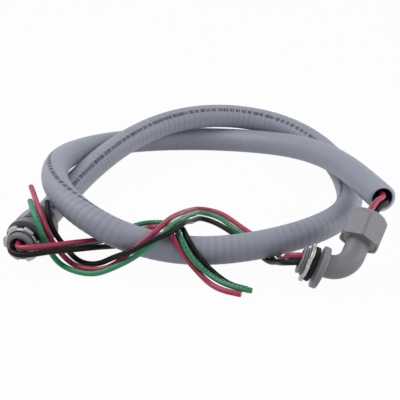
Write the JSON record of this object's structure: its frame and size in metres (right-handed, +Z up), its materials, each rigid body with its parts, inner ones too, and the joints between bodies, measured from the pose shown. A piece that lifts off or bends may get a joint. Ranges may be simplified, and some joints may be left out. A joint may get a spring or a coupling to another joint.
{
  "type": "flexible conduit whip",
  "caption": "Coil of flexible ribbed plastic conduit with loose insulated wires through it, a straight box connector on one end and a loose elbow connector at the other.",
  "frame": {"origin": "on the floor under the middle of the box round the conduit and both connectors", "axes": "+Z up from the floor, +X from the straight connector's side to the elbow's side, +Y to the back of the coil"},
  "size_m": [0.2926, 0.2845, 0.0521],
  "materials": {
    "conduit_grey": "satin moulded PVC with fine spiral ribs",
    "connector_grey": "satin moulded plastic",
    "ferrule_grey": "satin moulded plastic",
    "zinc_steel": "zinc-plated stamped steel",
    "rubber_black": "matt rubber",
    "insulation_black": "nylon-jacketed insulation",
    "insulation_red": "nylon-jacketed insulation",
    "insulation_green": "nylon-jacketed insulation"
  },
  "bodies": {
    "whip": {"conduit": "conduit_grey", "straight_body": "connector_grey", "straight_ferrule": "ferrule_grey", "elbow_body": "connector_grey", "elbow_ferrule": "ferrule_grey", "black_wire": "insulation_black", "red_wire": "insulation_red", "green_wire": "insulation_green"},
    "straight_seal": {"straight_sealing_ring": "ferrule_grey"},
    "straight_nut": {"straight_gland_nut": "connector_grey"},
    "straight_washer": {"straight_gasket": "rubber_black"},
    "straight_lock": {"straight_locknut": "zinc_steel"},
    "elbow_seal": {"elbow_sealing_ring": "ferrule_grey"},
    "elbow_nut": {"elbow_gland_nut": "connector_grey"},
    "elbow_washer": {"elbow_gasket": "rubber_black"},
    "elbow_lock": {"elbow_locknut": "zinc_steel"}
  },
  "joints": [
    {"name": "straight_seal_slide", "type": "slide", "parent": "whip", "child": "straight_seal", "axis": [0.2385, 0.9711, 0], "range_m": [0, 0.004]},
    {"name": "straight_nut_turn", "type": "hinge", "parent": "straight_seal", "child": "straight_nut", "pos_m": [-0.1273, -0.07735, 0.0169], "axis": [0.2385, 0.9711, 0], "range_deg": [0, 790]},
    {"name": "straight_washer_slide", "type": "slide", "parent": "whip", "child": "straight_washer", "axis": [-0.2385, -0.9711, 0], "range_m": [-0.0019, 0.004]},
    {"name": "straight_lock_turn", "type": "hinge", "parent": "straight_washer", "child": "straight_lock", "pos_m": [-0.1294, -0.0859, 0.0169], "axis": [-0.2385, -0.9711, 0], "range_deg": [-375, 790]},
    {"name": "elbow_seal_slide", "type": "slide", "parent": "whip", "child": "elbow_seal", "axis": [0.4211, 0.6931, 0.5851], "range_m": [0, 0.004]},
    {"name": "elbow_nut_turn", "type": "hinge", "parent": "elbow_seal", "child": "elbow_nut", "pos_m": [0.11352, -0.10892, 0.02649], "axis": [0.4211, 0.6931, 0.5851], "range_deg": [0, 790]},
    {"name": "elbow_washer_slide", "type": "slide", "parent": "whip", "child": "elbow_washer", "axis": [-0.9172, 0.19, 0.3501], "range_m": [-0.0019, 0.004]},
    {"name": "elbow_lock_turn", "type": "hinge", "parent": "elbow_washer", "child": "elbow_lock", "pos_m": [0.0827, -0.1254, 0.0164], "axis": [-0.9172, 0.19, 0.3501], "range_deg": [-375, 790]}
  ],
  "couplings": [
    {"joint": "straight_seal_slide", "follows": "straight_nut_turn", "m_per_rad": 0.00028871},
    {"joint": "straight_washer_slide", "follows": "straight_lock_turn", "m_per_rad": 0.00028871},
    {"joint": "elbow_seal_slide", "follows": "elbow_nut_turn", "m_per_rad": 0.00028871},
    {"joint": "elbow_washer_slide", "follows": "elbow_lock_turn", "m_per_rad": 0.00028871}
  ]
}
